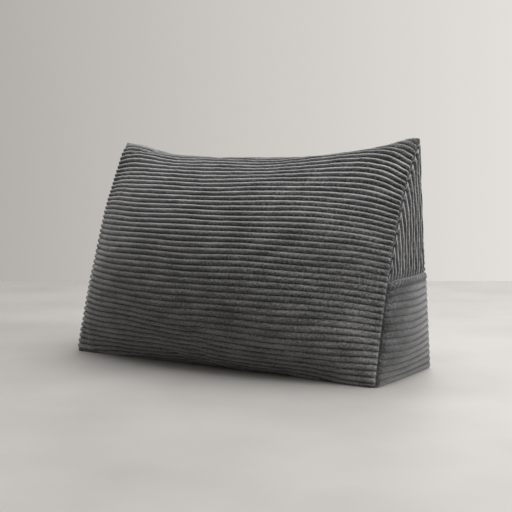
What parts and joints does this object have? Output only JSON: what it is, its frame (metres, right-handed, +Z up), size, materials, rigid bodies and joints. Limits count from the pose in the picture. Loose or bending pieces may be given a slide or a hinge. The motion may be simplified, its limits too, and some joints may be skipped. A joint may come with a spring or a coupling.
{
  "type": "triangle reading pillow",
  "caption": "Wedge-shaped back-rest pillow in wide-rib corduroy: sloping padded front, upright back, pulled-up top corners, flat base and an open pocket on the right end.",
  "frame": {"origin": "centre of the flat base, on the floor, midway between the two end seams and between the front and back edges of an end panel", "axes": "+Z up, +X along the width towards the end with the pocket, +Y from the sloping front to the upright back"},
  "size_m": [0.6288, 0.2854, 0.3807],
  "materials": {
    "corduroy": "charcoal wide-rib cotton-blend corduroy, soft cut pile with a pale sheen at grazing angles",
    "pocket_corduroy": "the same charcoal corduroy, cut with its ribs level and hemmed along the mouth"
  },
  "bodies": {
    "root": {"cushion_body": "corduroy", "side_pocket": "pocket_corduroy"}
  },
  "joints": []
}
